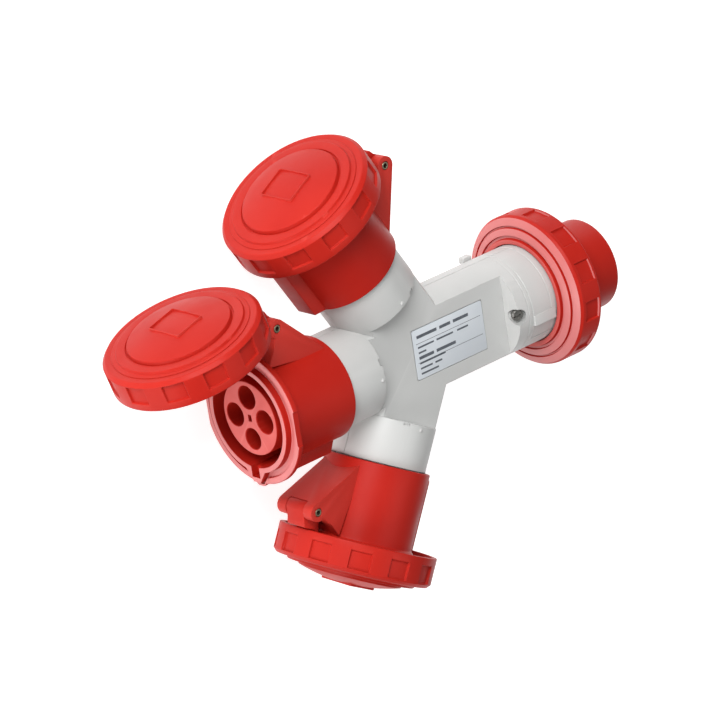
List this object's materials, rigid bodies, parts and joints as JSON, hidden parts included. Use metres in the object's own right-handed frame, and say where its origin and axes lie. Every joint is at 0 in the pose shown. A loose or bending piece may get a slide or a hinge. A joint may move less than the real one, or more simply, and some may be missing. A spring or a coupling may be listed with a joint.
{
  "type": "three-way industrial plug adaptor",
  "caption": "Three-way industrial adaptor with a four-pin plug and hinged, screw-ring lids on its sockets.",
  "frame": {"origin": "centre of the plug's pin carrier face", "axes": "+X the way the plug points, +Z out of the body's flat front, +Y towards the hinge side of the middle socket"},
  "size_m": [0.3202, 0.25, 0.0846],
  "materials": {
    "light_grey_plastic": "fine satin texture",
    "red_plastic": "semi-gloss moulded",
    "plate_film": "satin film",
    "black_rubber": "matt",
    "steel": "plated",
    "brass": "turned",
    "copper": "rolled copper strip"
  },
  "bodies": {
    "adaptor": {"busbar_1": "copper", "busbar_2": "copper", "busbar_3": "copper", "busbar_4": "copper", "collar_seal_lower": "black_rubber", "collar_seal_middle": "black_rubber", "collar_seal_upper": "black_rubber", "contact_lower_1": "brass", "contact_lower_2": "brass", "contact_lower_3": "brass", "contact_lower_4": "brass", "contact_middle_1": "brass", "contact_middle_2": "brass", "contact_middle_3": "brass", "contact_middle_4": "brass", "contact_upper_1": "brass", "contact_upper_2": "brass", "contact_upper_3": "brass", "contact_upper_4": "brass", "front_shell": "light_grey_plastic", "hinge_pin_lower": "steel", "hinge_pin_middle": "steel", "hinge_pin_upper": "steel", "housing_lower": "red_plastic", "housing_middle": "red_plastic", "housing_upper": "red_plastic", "insert_base_lower": "red_plastic", "insert_base_middle": "red_plastic", "insert_base_upper": "red_plastic", "insert_lower": "red_plastic", "insert_middle": "red_plastic", "insert_upper": "red_plastic", "pin_carrier": "red_plastic", "plug_gasket": "black_rubber", "plug_pin_1": "brass", "plug_pin_2": "brass", "plug_pin_3": "brass", "plug_pin_4": "brass", "plug_screw_front": "steel", "plug_screw_rear": "steel", "plug_shroud": "red_plastic", "rating_plate": "plate_film", "rear_shell": "light_grey_plastic", "shell_screw_1": "steel", "shell_screw_2": "steel", "shell_screw_3": "steel", "shell_screw_4": "steel"},
    "lid_upper": {"lid_gasket_upper": "black_rubber", "lid_upper": "red_plastic"},
    "ring_upper": {"lid_ring_upper": "red_plastic"},
    "lid_middle": {"lid_gasket_middle": "black_rubber", "lid_middle": "red_plastic"},
    "ring_middle": {"lid_ring_middle": "red_plastic"},
    "lid_lower": {"lid_gasket_lower": "black_rubber", "lid_lower": "red_plastic"},
    "ring_lower": {"lid_ring_lower": "red_plastic"},
    "plug_ring": {"plug_ring": "red_plastic"}
  },
  "joints": [
    {"name": "lid_hinge_upper", "type": "hinge", "parent": "adaptor", "child": "lid_upper", "pos_m": [-0.10381, 0.10473, 0], "axis": [0, 0, -1], "range_deg": [0, 98]},
    {"name": "lid_ring_turn_upper", "type": "hinge", "parent": "lid_upper", "child": "ring_upper", "pos_m": [-0.152, 0.09699, 0], "axis": [-0.5, 0.866, 0], "range_deg": [0, 30]},
    {"name": "lid_hinge_middle", "type": "hinge", "parent": "adaptor", "child": "lid_middle", "pos_m": [-0.1906, 0.0456, 0], "axis": [0, 0, -1], "range_deg": [-74.3, 23.7]},
    {"name": "lid_ring_turn_middle", "type": "hinge", "parent": "lid_middle", "child": "ring_middle", "pos_m": [-0.23921, 0.05001, 0], "axis": [-0.2706, 0.9627, 0], "range_deg": [0, 30]},
    {"name": "lid_hinge_lower", "type": "hinge", "parent": "adaptor", "child": "lid_lower", "pos_m": [-0.18279, -0.05913, 0], "axis": [0, 0, -1], "range_deg": [0, 98]},
    {"name": "lid_ring_turn_lower", "type": "hinge", "parent": "lid_lower", "child": "ring_lower", "pos_m": [-0.152, -0.09699, 0], "axis": [-0.5, -0.866, 0], "range_deg": [0, 30]},
    {"name": "plug_ring_turn", "type": "hinge", "parent": "adaptor", "child": "plug_ring", "pos_m": [0, 0, 0], "axis": [1, 0, 0], "range_deg": [0, 30]}
  ]
}
